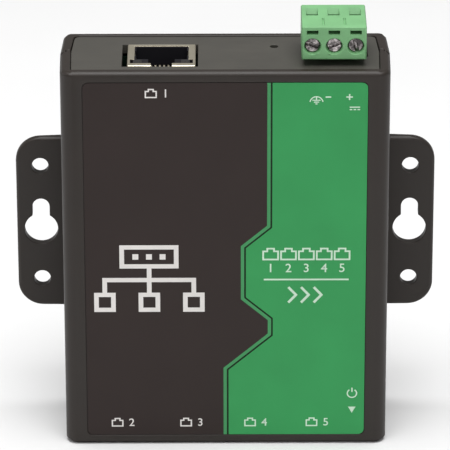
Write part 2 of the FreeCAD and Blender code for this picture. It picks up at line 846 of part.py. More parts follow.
SCREW_SHOULDER = SCREW_HEAD_Y + size.clamp_screw_head_height


def make_header():
    """Socket on the board, a channel with open ends, and its three bent pins."""
    header = new_body("terminal_header")
    profile = side_sketch(header, size.plug_x)
    polygon(profile, [
        (HEADER_FRONT, HEADER_LOW),
        (BOARD_FACE, HEADER_LOW),
        (BOARD_FACE, HEADER_TOP),
        (BOARD_FACE - size.header_wall, HEADER_TOP),
        (BOARD_FACE - size.header_wall, CAVITY_FLOOR),
        (HEADER_FRONT + size.header_wall, CAVITY_FLOOR),
        (HEADER_FRONT + size.header_wall, HEADER_TOP),
        (HEADER_FRONT, HEADER_TOP),
    ])
    pad(header, profile, HEADER_WIDTH, midplane=True)
    half = size.pin_size / 2 + size.pin_fit_gap
    holes = plan_sketch(header, HEADER_LOW)
    for across in pole_places():
        rectangle(holes, across - half, PIN_Y - half, across + half, PIN_Y + half)
    pocket(header, holes, size.header_floor, back=True)

    pins = new_body("header_pins")
    half = size.pin_size / 2
    bend = side_sketch(pins, size.plug_x - size.pole_pitch)
    tail = BOARD_BACK + size.pin_tail
    polygon(bend, [
        (PIN_Y - half, PIN_DROP_Z - half),
        (tail, PIN_DROP_Z - half),
        (tail, PIN_DROP_Z + half),
        (PIN_Y + half, PIN_DROP_Z + half),
        (PIN_Y + half, PIN_TIP),
        (PIN_Y - half, PIN_TIP),
    ])
    row_pattern(pins, pad(pins, bend, size.pin_size, midplane=True), size.pole_pitch, len(POLES))


def make_plug_housing():
    """Plug with its nose in the header, and a chamber, screw hole and wire entry for each pole."""
    piece = new_body("plug_housing")
    rear = PLUG_FRONT + size.plug_depth
    block = side_sketch(piece, size.plug_x)
    rectangle(block, PLUG_FRONT, PLUG_LOW, rear, PLUG_HIGH)
    pad(piece, block, PLUG_WIDTH, midplane=True)
    soften(piece, size.plug_edge_chamfer,
           lambda box: close(box.ZMin, PLUG_HIGH) or close(box.YMax, PLUG_FRONT)
           or (close(box.YMin, rear) and box.ZLength > 1), kind="Chamfer")
    nose = side_sketch(piece, size.plug_x)
    rectangle(nose, NOSE_FRONT, NOSE_END, NOSE_REAR, PLUG_LOW)
    pad(piece, nose, HEADER_WIDTH, midplane=True)
    places = pole_places()

    def cut_plan(z, half, front, back_edge, depth, upward):
        """The same rectangular cut at each pole, in plan."""
        sketch = plan_sketch(piece, z)
        for across in places:
            rectangle(sketch, across - half, front, across + half, back_edge)
        pocket(piece, sketch, depth, back=upward)

    cut_plan(CHAMBER_LOW, CHAMBER_HALF, CHAMBER_FRONT, CAGE_REAR + size.cage_gap,
             CHAMBER_HIGH - CHAMBER_LOW, True)
    entry = PLUG_FRONT + size.wire_entry_set_back
    entry_rear = entry + size.wire_entry_depth
    for across in places:
        funnel = side_sketch(piece, across)
        polygon(funnel, [
            (entry, CHAMBER_HIGH),
            (entry_rear, CHAMBER_HIGH),
            (entry_rear + size.wire_entry_slope, PLUG_HIGH),
            (entry, PLUG_HIGH),
        ])
        pocket(piece, funnel, size.wire_entry_width, midplane=True)
    socket = size.socket_clearance
    cut_plan(NOSE_END, TONGUE_HALF + socket, TONGUE_FRONT - socket, LEAF_REAR + socket,
             CHAMBER_LOW - NOSE_END, True)
    heads = [(across, CLAMP_Z) for across in places]
    head_room = size.clamp_screw_head_radius + size.screw_clearance
    seat = SCREW_SHOULDER + size.clamp_seat_gap
    pocket(piece, circles(piece, PLUG_FRONT, heads, head_room), seat - PLUG_FRONT)
    shank_room = size.clamp_screw_radius + size.thread_clearance
    pocket(piece, circles(piece, seat, heads, shank_room), CHAMBER_FRONT - seat)
    probes = front_sketch(piece, PLUG_FRONT)
    probe_top = PLUG_HIGH - size.probe_slot_drop
    for across in places:
        rectangle(probes, across - size.probe_slot_width / 2, probe_top - size.probe_slot_height,
                  across + size.probe_slot_width / 2, probe_top)
    pocket(piece, probes, size.wire_entry_set_back + size.probe_slot_reach)
    grooves = plan_sketch(piece, PLUG_HIGH)
    groove_start = PLUG_FRONT + size.pole_groove_set_back
    for rank in range(1, len(POLES)):
        middle = size.plug_x - PLUG_WIDTH / 2 + rank * size.pole_pitch
        rectangle(grooves, middle - size.pole_groove_width / 2, groove_start,
                  middle + size.pole_groove_width / 2, groove_start + size.pole_groove_length)
    pocket(piece, grooves, size.pole_groove_depth)


def make_plug_contacts():
    """Three contacts, each a clamping tongue that ends below in a two-leaf pin spring."""
    piece = new_body("plug_contacts")
    profile = side_sketch(piece, size.plug_x - size.pole_pitch)
    bridge_low = PIN_TIP + size.bridge_rise
    bridge_high = bridge_low + size.bridge_height
    polygon(profile, [
        (TONGUE_FRONT, LEAF_END),
        (TONGUE_REAR, LEAF_END),
        (TONGUE_REAR, bridge_low),
        (LEAF_FRONT, bridge_low),
        (LEAF_FRONT, LEAF_END),
        (LEAF_REAR, LEAF_END),
        (LEAF_REAR, bridge_high),
        (TONGUE_REAR, bridge_high),
        (TONGUE_REAR, CLAMP_Z + size.tongue_rise),
        (TONGUE_FRONT, CLAMP_Z + size.tongue_rise),
    ])
    tongue = pad(piece, profile, 2 * TONGUE_HALF, midplane=True)
    row_pattern(piece, tongue, size.pole_pitch, len(POLES))


def make_clamp(side, middle, turn):
    """One slotted clamping screw, turned about its axis, and the cage that it draws forwards."""
    screw = new_body(f"clamp_screw_{side}")
    profile = new_sketch(screw, "XY_Plane")
    head = size.clamp_screw_head_radius
    shank = size.clamp_screw_radius
    length = TONGUE_FRONT - size.clamp_screw_tip_gap - SCREW_HEAD_Y
    polygon(profile, [
        (0, 0),
        (head, 0),
        (head, size.clamp_screw_head_height),
        (shank, size.clamp_screw_head_height),
        (shank, length),
        (0, length),
    ])
    turned = screw.newObject("PartDesign::Revolution", "revolution")
    turned.Profile = profile
    turned.ReferenceAxis = (profile, ["V_Axis"])
    turned.Angle = 360.0
    doc.recompute()
    slot = front_sketch(screw, 0)
    slot_half = size.clamp_slot_width / 2
    rectangle(slot, -head, -slot_half, head, slot_half)
    pocket(screw, slot, size.clamp_slot_depth)
    screw.Placement = FreeCAD.Placement(FreeCAD.Vector(), FreeCAD.Rotation(FreeCAD.Vector(0, 1, 0), 1))
    bind(screw, {
        "Placement.Base.x": middle,
        "Placement.Base.y": SCREW_HEAD_Y,
        "Placement.Base.z": CLAMP_Z,
        "Placement.Rotation.Angle": turn,
    })

    cage = new_body(f"clamp_cage_{side}")
    ring = plan_sketch(cage, CLAMP_Z - size.cage_length / 2)
    rectangle(ring, middle - CAGE_HALF, CAGE_FRONT, middle + CAGE_HALF, CAGE_REAR)
    rectangle(ring, middle - WINDOW_HALF, CAGE_WINDOW_FRONT, middle + WINDOW_HALF, CAGE_WINDOW_REAR)
    pad(cage, ring, size.cage_length)
    thread = size.clamp_screw_radius + size.thread_clearance
    pocket(cage, circles(cage, CAGE_FRONT, [(middle, CLAMP_Z)], thread), size.cage_front)


def make_power_led():
    """Lamp that looks out of the bottom panel, in a holder on the board."""
    holder = new_body("power_led_holder")
    base = plan_sketch(holder, BOARD_LOW)
    half = size.led_holder_width / 2
    rectangle(base, POWER_LED_X - half, BOARD_FACE - size.led_holder_height,
              POWER_LED_X + half, BOARD_FACE)
    pad(holder, base, size.led_holder_depth)
    bore = plan_sketch(holder, BOARD_LOW)
    circle(bore, POWER_LED_X, LED_AXIS, size.power_led_radius)
    lamp_end = size.power_led_set_back + size.power_led_length
    pocket(holder, bore, lamp_end - BOARD_LOW, back=True)

    lamp = new_body("power_led")
    stem = plan_sketch(lamp, size.power_led_set_back)
    circle(stem, POWER_LED_X, LED_AXIS, size.power_led_radius)
    pad(lamp, stem, size.power_led_length)


def make_chip(label, across, up, width, length, height):
    """A moulded circuit part that lies on the face of the board."""
    piece = new_body(label)
    outline = front_sketch(piece, BOARD_FACE)
    rectangle(outline, across - width / 2, up - length / 2, across + width / 2, up + length / 2)
    pad(piece, outline, height)


def make_capacitors():
    """Two moulded smoothing capacitors, side by side on the board."""
    piece = new_body("input_capacitors")
    outline = front_sketch(piece, BOARD_FACE)
    low = TOP - size.capacitor_drop - size.capacitor_length / 2
    for rank in (0, 1):
        left = size.capacitor_x - size.capacitor_width / 2 + rank * size.capacitor_pitch
        rectangle(outline, left, low, left + size.capacitor_width, low + size.capacitor_length)
    pad(piece, outline, size.capacitor_height)


make_front_cover()
make_rear_base()
make_label()
make_end_panel("top_end_panel", TOP - size.panel_recess, 1, cut_top_openings)
make_end_panel("bottom_end_panel", size.panel_recess, -1, cut_bottom_openings)
make_board()
make_case_screws()

LED_ROOM = size.jack_led_width + 2 * size.jack_led_side_gap
PORT_1_LED_SPACING = size.jack_width - LED_ROOM - 2 * size.jack_led_side_margin
BLOCK_LED_SPACING = size.port_pitch - LED_ROOM - size.port_block_led_gap
BLOCK_PORTS = {port: size.port_block_x + (port - 3.5) * size.port_pitch for port in range(2, 6)}
make_jack("port_1", {1: size.port_1_x}, size.port_1_x, size.jack_width,
          TOP - size.jack_set_back, 1, PORT_1_LED_SPACING)
make_jack("port_block", BLOCK_PORTS, size.port_block_x, jack_block_width(),
          size.jack_set_back, -1, BLOCK_LED_SPACING)

make_header()
make_plug_housing()
make_plug_contacts()
TURNS = {"left": size.clamp_turn_left, "middle": size.clamp_turn_middle, "right": size.clamp_turn_right}
for side, middle in zip(POLES, pole_places()):
    make_clamp(side, middle, TURNS[side])
make_power_led()

make_chip("switch_chip", as_size(0), size.switch_chip_z, size.switch_chip_side, size.switch_chip_side,
          size.switch_chip_height)
JACK_INNER_END = size.jack_set_back + size.jack_depth
TRANSFORMER_Z = JACK_INNER_END + size.transformer_gap + size.transformer_length / 2
TRANSFORMER_1_Z = TOP - JACK_INNER_END - size.transformer_1_gap - size.transformer_length / 2
for port, across in {1: size.port_1_x, **BLOCK_PORTS}.items():
    make_chip(f"line_transformer_{port}", across, TRANSFORMER_1_Z if port == 1 else TRANSFORMER_Z,
              size.transformer_width, size.transformer_length, size.transformer_height)
make_chip("crystal", size.crystal_x, size.crystal_z, size.crystal_width, size.crystal_length,
          size.crystal_height)
make_chip("power_inductor", size.inductor_x, TOP - size.inductor_drop, size.inductor_side,
          size.inductor_side, size.inductor_height)
make_chip("regulator_chip", size.regulator_x, TOP - size.regulator_drop, size.regulator_width,
          size.regulator_length, size.regulator_height)
make_chip("input_fuse", size.fuse_x, TOP - size.fuse_drop, size.fuse_width, size.fuse_length,
          size.fuse_height)
make_capacitors()

doc.recompute()
for thing in doc.Objects:
    if {"Invalid", "Error"} & set(thing.State):
        raise RuntimeError(f"{thing.Label} failed: {thing.State}")
for piece in pieces:
    if piece.Shape.isNull() or not piece.Shape.isValid():
        raise RuntimeError(f"{piece.Label} has no valid shape")

os.makedirs("parts", exist_ok=True)
for piece in pieces:
    piece.Shape.exportStep(f"parts/{piece.Label}.step")
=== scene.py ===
import math

import bmesh
import bpy
import numpy as np
from mathutils import Euler, Matrix, Vector


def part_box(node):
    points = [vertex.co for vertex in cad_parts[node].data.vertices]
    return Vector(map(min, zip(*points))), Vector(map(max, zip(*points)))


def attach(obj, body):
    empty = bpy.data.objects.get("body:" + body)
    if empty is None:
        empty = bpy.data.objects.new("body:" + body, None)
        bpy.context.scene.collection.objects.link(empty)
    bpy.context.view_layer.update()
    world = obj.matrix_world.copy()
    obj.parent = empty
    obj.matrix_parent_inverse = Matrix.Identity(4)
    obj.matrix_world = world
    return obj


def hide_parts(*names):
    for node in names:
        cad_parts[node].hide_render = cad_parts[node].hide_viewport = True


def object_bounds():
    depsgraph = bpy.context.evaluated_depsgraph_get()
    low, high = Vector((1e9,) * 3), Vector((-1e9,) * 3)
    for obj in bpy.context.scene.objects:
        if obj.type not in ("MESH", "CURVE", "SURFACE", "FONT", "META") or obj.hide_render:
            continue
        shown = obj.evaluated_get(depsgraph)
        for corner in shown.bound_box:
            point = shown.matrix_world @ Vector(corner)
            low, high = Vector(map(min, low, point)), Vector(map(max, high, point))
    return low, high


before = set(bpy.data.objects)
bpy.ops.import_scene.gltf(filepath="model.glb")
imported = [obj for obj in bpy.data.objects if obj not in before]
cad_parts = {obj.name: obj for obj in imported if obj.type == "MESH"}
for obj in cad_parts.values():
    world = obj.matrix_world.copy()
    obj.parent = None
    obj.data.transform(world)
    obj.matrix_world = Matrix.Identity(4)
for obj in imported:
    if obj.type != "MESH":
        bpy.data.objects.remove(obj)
cad_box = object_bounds()
MM = 0.001


# Rear base
# The rear half of the case, with its wall ears, is one injection moulding in dark brown-grey ABS.
# Its cavity is spark eroded, so the skin has a fine even grain; it carries the board and the screws.

class Shade:
    """One output of a material's nodes. Arithmetic between shades and numbers adds Math nodes."""

    MIX_FIRST, MIX_SECOND, MIX_RESULT = 6, 7, 2

    def __init__(self, tree, socket=None):
        self.tree = tree
        self.socket = socket

    def node(self, kind, settings=None, inputs=None, output=0):
        """A new node: its settings first, then its inputs as values or links; gives one output."""
        made = self.tree.nodes.new(kind)
        for name, value in (settings or {}).items():
            setattr(made, name, value)
        for key, value in (inputs or {}).items():
            if isinstance(value, Shade):
                self.tree.links.new(value.socket, made.inputs[key])
            else:
                made.inputs[key].default_value = value
        return Shade(self.tree, made.outputs[output])

    def math(self, operation, *values):
        """The result of one operation on shades or numbers."""
        return self.node("ShaderNodeMath", {"operation": operation}, dict(enumerate(values)))

    def __add__(self, other):
        return self.math("ADD", self, other)

    def __mul__(self, other):
        return self.math("MULTIPLY", self, other)

    __radd__ = __add__
    __rmul__ = __mul__

    def blend(self, first, second):
        """A colour between two colours, with this shade as the share of the second."""
        inputs = {"Factor": self, self.MIX_FIRST: first, self.MIX_SECOND: second}
        return self.node("ShaderNodeMix", {"data_type": "RGBA"}, inputs, self.MIX_RESULT)

    def noise(self, size, detail=2.0, rough=0.5):
        """Soft noise, 0 to 1, whose features have a size in millimetres."""
        inputs = {"Vector": self, "Scale": 1 / (size * MM), "Detail": detail, "Roughness": rough}
        return self.node("ShaderNodeTexNoise", None, inputs)

    def stretch(self, across, deep, up):
        """These coordinates scaled along X, Y and Z, so that a noise on them runs in streaks."""
        return self.node("ShaderNodeMapping", None, {"Vector": self, "Scale": (across, deep, up)})

    def ramp(self, low, high):
        """This shade spread so that low becomes 0 and high becomes 1."""
        inputs = {"Value": self, "From Min": low, "From Max": high}
        return self.node("ShaderNodeMapRange", None, inputs)


def colour(red, green, blue):
    """A linear colour with full alpha from the three sRGB values, 0 to 255, that it shows as."""
    shares = np.array([red, green, blue]) / 255
    linear = np.where(shares <= 0.04045, shares / 12.92, ((shares + 0.055) / 1.055) ** 2.4)
    return (*linear.tolist(), 1.0)


def darker(tone, share):
    """The same colour at a share of its brightness."""
    return tuple(share * part for part in tone[:3]) + (1.0,)


def new_finish(name, **constants):
    """A material with one Principled shader; gives it, the shader and its Object coordinates."""
    material = bpy.data.materials.new(name)
    material.use_nodes = True
    shader = material.node_tree.nodes["Principled BSDF"]
    for socket, value in constants.items():
        shader.inputs[socket.replace("_", " ")].default_value = value
    point = Shade(material.node_tree).node("ShaderNodeTexCoord", output="Object")
    return material, shader, point


def feed(shader, **shades):
    """Link shades to the sockets of a shader."""
    for socket, shade in shades.items():
        shade.tree.links.new(shade.socket, shader.inputs[socket.replace("_", " ")])


def bump(height, depth, strength):
    """A normal from a height, 0 to 1, that stands for a depth in millimetres."""
    inputs = {"Height": height, "Strength": strength, "Distance": depth * MM}
    return height.node("ShaderNodeBump", None, inputs)


def moulded(name, tone, grain=0.35, depth=0.02, rough=(0.38, 0.52), patch=9.0, drawn=(1.0, 1.0, 1.0),
            gloss=0.35):
    """Moulded plastic: broad flow patches of tone, a fine eroded grain, and gloss that follows both.
    The grain runs in streaks along an axis where drawn is below 1."""
    material, shader, point = new_finish(name, Specular_IOR_Level=gloss)
    flow = point.noise(patch, 3.0)
    fine = point.stretch(*drawn).noise(grain, 3.0, 0.65)
    tint = (flow * 0.6 + fine * 0.4).ramp(0.3, 0.7)
    feed(shader,
         Base_Color=tint.blend(darker(tone, 0.86), darker(tone, 1.12)),
         Roughness=(flow * 0.5 + fine * 0.5).ramp(0.2, 0.8) * (rough[1] - rough[0]) + rough[0],
         Normal=bump(fine, depth, 0.35))
    return material


def paint(material, *nodes):
    """Give CAD nodes a material."""
    for node in nodes:
        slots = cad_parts[node].data.materials
        slots.clear()
        slots.append(material)


CREASE = math.radians(50)
FLAT = math.radians(0.5)
MERGE = MM / 1000


def polished(node, body, material, edge, width=None):
    """A copy of a CAD node with its triangles merged into whole faces: surfaces that meet below the
    crease angle shade as one, so that a chamfer looks round, and outer edges sharper than it are
    rounded off by a width in millimetres, which may be a function of the middle of the edge."""
    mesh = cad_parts[node].data.copy()
    merged = bmesh.new()
    merged.from_mesh(mesh)
    bmesh.ops.remove_doubles(merged, verts=merged.verts, dist=MERGE)
    bmesh.ops.dissolve_limit(merged, angle_limit=FLAT, verts=merged.verts, edges=merged.edges)
    weights = merged.edges.layers.float.new("bevel_weight_edge")
    for line in merged.edges:
        if line.calc_face_angle_signed(0) > CREASE:
            middle = (line.verts[0].co + line.verts[1].co) / 2
            line[weights] = width(middle) / edge if width else 1.0
    merged.to_mesh(mesh)
    merged.free()
    mesh.shade_smooth()
    mesh.set_sharp_from_angle(angle=CREASE)
    mesh.materials.clear()
    mesh.materials.append(material)
    piece = bpy.data.objects.new(f"{node}_skin", mesh)
    bpy.context.scene.collection.objects.link(piece)
    rounding = piece.modifiers.new("rounding", "BEVEL")
    rounding.width = edge * MM
    rounding.segments = 2
    rounding.limit_method = "WEIGHT"
    rounding.use_clamp_overlap = False
    rounding.harden_normals = True
    piece.modifiers.new("joined", "WELD").merge_threshold = MERGE
    weighted = piece.modifiers.new("flat_faces", "WEIGHTED_NORMAL")
    weighted.keep_sharp = True
    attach(piece, body)
    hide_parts(node)
    return piece


base_low, base_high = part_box("rear_base")
EAR_HALF_HEIGHT = 22 * MM
EAR_ROUND = 6 * MM
EAR_EDGE = 0.7
CASE_EDGE = 0.2
OUTLINE_BAND = 0.05


def base_rounding(place):
    """Rounding of the rear base in millimetres: wide on the outline of the ears, narrow elsewhere. The
    outline lies one corner radius from a rectangle."""
    beside = max(abs(place.x) - base_high[0] + EAR_ROUND, 0)
    above = max(abs(place.z - (base_low[2] + base_high[2]) / 2) - EAR_HALF_HEIGHT + EAR_ROUND, 0)
    from_outline = math.hypot(beside, above) / EAR_ROUND
    on_outline = abs(from_outline - 1) < OUTLINE_BAND
    on_ear = abs(place.x) > base_high[0] - 2 * EAR_ROUND
    return EAR_EDGE if on_ear and on_outline else CASE_EDGE


CASE_TONE = colour(41, 35, 31)
case_skin = moulded("case_skin", CASE_TONE)
polished("rear_base", "chassis", case_skin, EAR_EDGE, base_rounding)


# Circuit board and its parts
# A glass-epoxy board with dark green mask lies on the pillars and corner rests of the rear base.
# Its parts are black mouldings, ferrite and a metal can, soldered to its front.

TRACE_CELLS = 420.0


def board_mask():
    """Solder mask over copper: paler where traces run under it, in a coarse square net with so many cells
    to a metre."""
    material, shader, point = new_finish("board_mask", Coat_Weight=0.4, Coat_Roughness=0.2)
    cells = point.node("ShaderNodeTexVoronoi", {"distance": "CHEBYCHEV"},
                       {"Vector": point, "Scale": TRACE_CELLS})
    copper = cells.ramp(0.25, 0.35)
    cloud = point.noise(3.0)
    feed(shader,
         Base_Color=copper.blend(colour(8, 24, 17), colour(14, 38, 27)),
         Roughness=cloud * 0.2 + 0.3,
         Normal=bump(copper, 0.03, 0.4))
    return material


def metal(name, tone, rough=(0.25, 0.45), streak=(1.0, 1.0, 8.0), grain=0.6):
    """Plated metal: fine streaks in the gloss, and cloudy patches where the plating is duller."""
    material, shader, point = new_finish(name, Metallic=1.0)
    lines = point.stretch(*streak).noise(grain, 3.0, 0.6)
    cloud = point.noise(grain * 8, 2.0)
    feed(shader,
         Base_Color=cloud.ramp(0.3, 0.75).blend(tone, darker(tone, 0.75)),
         Roughness=(lines * 0.6 + cloud * 0.4).ramp(0.25, 0.75) * (rough[1] - rough[0]) + rough[0],
         Normal=bump(lines, 0.01, 0.25))
    return material


PORTS = range(1, 6)
paint(board_mask(), "circuit_board")
chip_black = moulded("chip_black", colour(38, 38, 40), grain=0.15, rough=(0.5, 0.7), patch=4.0)
paint(chip_black, "switch_chip", "regulator_chip", "input_capacitors",
      *[f"line_transformer_{port}" for port in PORTS])
paint(moulded("ferrite", colour(66, 66, 70), grain=0.2, depth=0.05, rough=(0.6, 0.8)), "power_inductor")
paint(moulded("fuse_body", colour(150, 110, 40), grain=0.2), "input_fuse")
paint(metal("can_metal", colour(200, 200, 202)), "crystal")


# Network jacks
# Each jack is a tin-plated sheet-metal shell round a black insert with gold-plated wire springs.
# The plating stops at the sheared edges, and the lamps in the corners of its face are smoky until
# they light. The jacks are soldered to the board.

tin_shell = metal("tin_shell", colour(228, 220, 198), rough=(0.28, 0.5), streak=(6.0, 6.0, 1.0), grain=0.5)
cut_steel = metal("cut_steel", colour(118, 110, 96), rough=(0.5, 0.7), grain=0.3)
BEND_EDGE = 0.25
SHEET_EDGE = 0.06
SHEET = 0.25 * MM
UPRIGHT = 0.5
TOUCH = MM / 100


def on_walls(place, low, high):
    """For X, Y and Z, whether a place lies on one of the two walls of a box across that axis."""
    return np.isclose(place, low, atol=TOUCH) | np.isclose(place, high, atol=TOUCH)


def bend_rounding(node):
    """Rounding of a sheet-metal shell: wide where two outer walls meet in a bend, narrow where the
    sheet is cut."""
    low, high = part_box(node)

    def width(place):
        return BEND_EDGE if on_walls(place, low, high).sum() > 1 else SHEET_EDGE

    return width


def bare_cut_edges(piece, node, steel):
    """Give the sheared edges round a shell's mouth the bare steel of the sheet: the upright faces within
    one sheet of an end that don't lie on an outer wall."""
    low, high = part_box(node)
    piece.data.materials.append(steel)
    bare = len(piece.data.materials) - 1
    for face in piece.data.polygons:
        near_end = min(face.center.z - low[2], high[2] - face.center.z) < SHEET
        on_side = on_walls(face.center, low, high)[:2].any()
        if near_end and abs(face.normal.z) < UPRIGHT and not on_side:
            face.material_index = bare


for shell in ("port_1_shield", "port_block_shield"):
    skin = polished(shell, "chassis", tin_shell, BEND_EDGE, bend_rounding(shell))
    bare_cut_edges(skin, shell, cut_steel)
paint(moulded("black_insert", colour(28, 27, 31), grain=0.2, rough=(0.45, 0.6), gloss=0.12),
      "port_1_housing", "port_block_housing")
# The springs' gold is paled almost to white: partly gold plating, partly a painted highlight for the glare on
# them.
paint(metal("gold_wire_painted_highlight", colour(255, 246, 220), rough=(0.3, 0.45), grain=0.2),
      *[f"port_{port}_contacts" for port in PORTS])


def lamp_resin(name, tone):
    """Diffusing resin: a cloudy body colour under a clear gloss."""
    material, shader, point = new_finish(name, Coat_Weight=0.05, Coat_Roughness=0.08, IOR=1.53)
    cloud = point.noise(0.8, 3.0)
    feed(shader,
         Base_Color=cloud.ramp(0.3, 0.7).blend(darker(tone, 0.8), darker(tone, 1.2)),
         Roughness=cloud * 0.15 + 0.22)
    return material


jack_lamp = lamp_resin("jack_lamp", colour(24, 22, 20))
paint(jack_lamp, *[f"port_{port}_{side}_led" for port in PORTS for side in ("left", "right")])


# Supply header
# A green moulding with open ends on the board, with three bent tin-plated brass pins that pass
# through its floor and are soldered into the board.

PLUG_TONE = colour(114, 167, 116)
plug_green = moulded("plug_green", PLUG_TONE, grain=0.18, depth=0.01, rough=(0.4, 0.55), patch=5.0)
paint(plug_green, "terminal_header")
tin_brass = metal("tin_brass", colour(206, 200, 180), grain=0.25)
paint(tin_brass, "header_pins")


# End panels
# Two stepped plates of the same plastic as the case close its ends. Their flanges slide into the
# grooves of both shells, and the jacks, the header and the lamp look out through their openings.

# The panels' tone is lighter than the case's although they are the same plastic: painted light on the ends
# that face up.
panel_skin_painted_light = moulded("panel_skin_painted_light", colour(68, 66, 61), grain=1.0, rough=(0.34, 0.48),
                     drawn=(0.1, 1.0, 1.0))
PANEL_EDGE = 0.15
for panel in ("top_end_panel", "bottom_end_panel"):
    polished(panel, "chassis", panel_skin_painted_light, PANEL_EDGE)


# Front cover
# The front half of the case, moulded like the rear half, with wide rounding along its long edges.
# Its bosses take the case screws, which pull it down on the parting line and clamp the board.

polished("front_cover", "chassis", case_skin, CASE_EDGE)


# Case screws
# Two zinc-plated steel screws with pan heads and a cross recess. They go in from the rear, through
# the pillars and the board, into the bosses of the front cover.

def strip_faces(rows, columns, ring=False):
    """The four-sided faces between neighbours in a grid of points; in a ring the last row joins the
    first."""
    index = np.arange(rows * columns).reshape(rows, columns)
    following = np.roll(index, -1, axis=0)
    faces = np.stack([index[:, :-1], index[:, 1:], following[:, 1:], following[:, :-1]], axis=-1)
    return (faces if ring else faces[:-1]).reshape(-1, 4)


def turned(radius, along, count=48):
    """A surface of revolution: the points of a profile, given by radius and place along the axis, at
    equal angles round it. Gives the two coordinates across the axis, the one along it, and the faces
    between neighbouring points; a profile that starts and ends on the axis is closed."""
    angle = np.linspace(0, 2 * math.pi, count, endpoint=False)[:, None]
    first = np.cos(angle) * radius
    second = np.sin(angle) * radius
    place = np.broadcast_to(along, first.shape).copy()
    return first, second, place, strip_faces(*first.shape, ring=True)


def mesh_piece(name, points, faces, materials, indices=None):
    """An object at the origin from points in metres and faces, with its materials by face."""
    mesh = bpy.data.meshes.new(name)
    mesh.from_pydata(points.tolist(), [], faces)
    for material in materials:
        mesh.materials.append(material)
    if indices is not None:
        mesh.polygons.foreach_set("material_index", indices)
    mesh.update()
    piece = bpy.data.objects.new(name, mesh)
    bpy.context.scene.collection.objects.link(piece)
    return piece


SMOOTH = math.radians(35)


def sealed(piece):
    """Join the doubled points of a piece, at its poles too, turn its faces outwards and smooth it where
    they meet below an angle."""
    mesh = piece.data
    joined = bmesh.new()
    joined.from_mesh(mesh)
    bmesh.ops.remove_doubles(joined, verts=joined.verts, dist=MERGE)
    bmesh.ops.dissolve_degenerate(joined, edges=joined.edges, dist=MERGE)
    bmesh.ops.recalc_face_normals(joined, faces=joined.faces)
    joined.to_mesh(mesh)
    joined.free()
    mesh.shade_smooth()
    mesh.set_sharp_from_angle(angle=SMOOTH)


screw_low, screw_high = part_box("case_screws")
HEAD_RADIUS = (screw_high[2] - screw_low[2]) / 2
HEAD_HEIGHT = 1.6 * MM
SHANK_RADIUS = 1.5 * MM
HEAD_ROUND = 0.7 * MM
CROSS_WIDTH = 0.75 * MM
CROSS_REACH = 1.7 * MM
CROSS_DEPTH = 0.9 * MM
CROSS_SLOPE = 0.15 * MM
HEAD_FACETS = 96
FACE_STEPS = 22
ROUND_STEPS = 7


def cross_dent(first, second):
    """Depth of a cross recess: full where either coordinate is within half the arm's width and the
    other within its reach, falling to nothing over a narrow slope."""
    def within(value, limit):
        return np.clip((limit - np.abs(value)) / CROSS_SLOPE + 0.5, 0, 1)

    level = within(first, CROSS_WIDTH / 2) * within(second, CROSS_REACH)
    upright = within(second, CROSS_WIDTH / 2) * within(first, CROSS_REACH)
    return CROSS_DEPTH * np.maximum(level, upright)


bow = np.linspace(0, math.pi / 2, ROUND_STEPS)
rim_radius = HEAD_RADIUS - HEAD_ROUND * (1 - np.sin(bow))
rim_place = screw_high[1] - HEAD_ROUND * (1 - np.cos(bow))
face_radius = np.linspace(0, HEAD_RADIUS - HEAD_ROUND, FACE_STEPS)
seat = screw_high[1] - HEAD_HEIGHT
screw_radius = np.concatenate([face_radius, rim_radius, [HEAD_RADIUS, SHANK_RADIUS, SHANK_RADIUS, 0]])
screw_along = np.concatenate([np.full(FACE_STEPS, screw_high[1]), rim_place,
                              [seat, seat, screw_low[1], screw_low[1]]])
first, second, place, ring_faces = turned(screw_radius, screw_along, HEAD_FACETS)
place[:, :FACE_STEPS] -= cross_dent(first, second)[:, :FACE_STEPS]
height = (screw_low[2] + screw_high[2]) / 2
screw_points = []
screw_faces = []
for across in (screw_low[0] + HEAD_RADIUS, screw_high[0] - HEAD_RADIUS):
    screw_faces.append(ring_faces + sum(len(points) for points in screw_points))
    screw_points.append(np.stack([first + across, place, second + height], axis=-1).reshape(-1, 3))
zinc = metal("zinc_steel", colour(178, 178, 176), grain=0.3)
case_screws = mesh_piece("cross_head_screws", np.concatenate(screw_points),
                         np.concatenate(screw_faces).tolist(), [zinc])
sealed(case_screws)
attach(case_screws, "chassis")
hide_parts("case_screws")


# Front label
# A printed polyester film lies in the recess of the front cover, on its own adhesive.
# A dark field fills the left, a green field the right, with a thin green line along the boundary.

def film_finish(name, tone, rough=(0.36, 0.46)):
    """Printed film: a very fine satin grain and a faint unevenness of the ink."""
    material, shader, point = new_finish(name, Specular_IOR_Level=0.2)
    ink = point.noise(14.0, 3.0)
    grain = point.noise(0.12, 2.0)
    feed(shader,
         Base_Color=(ink * 0.7 + grain * 0.3).ramp(0.3, 0.7).blend(darker(tone, 0.93), darker(tone, 1.07)),
         Roughness=grain * (rough[1] - rough[0]) + rough[0],
         Normal=bump(grain, 0.004, 0.3))
    return material


def mitres(path, closed=False):
    """For each point of a path, the step that moves both of its segments one unit to the right: the sum
    of their normals, divided by one more than the normals' product."""
    steps = np.roll(path, -1, axis=0) - path
    after = np.stack([steps[:, 1], -steps[:, 0]], axis=-1) / np.linalg.norm(steps, axis=1)[:, None]
    before = np.roll(after, 1, axis=0)
    if not closed:
        before[0] = after[0]
        after[-1] = before[-1]
    return (before + after) / (1 + np.sum(before * after, axis=1))[:, None]


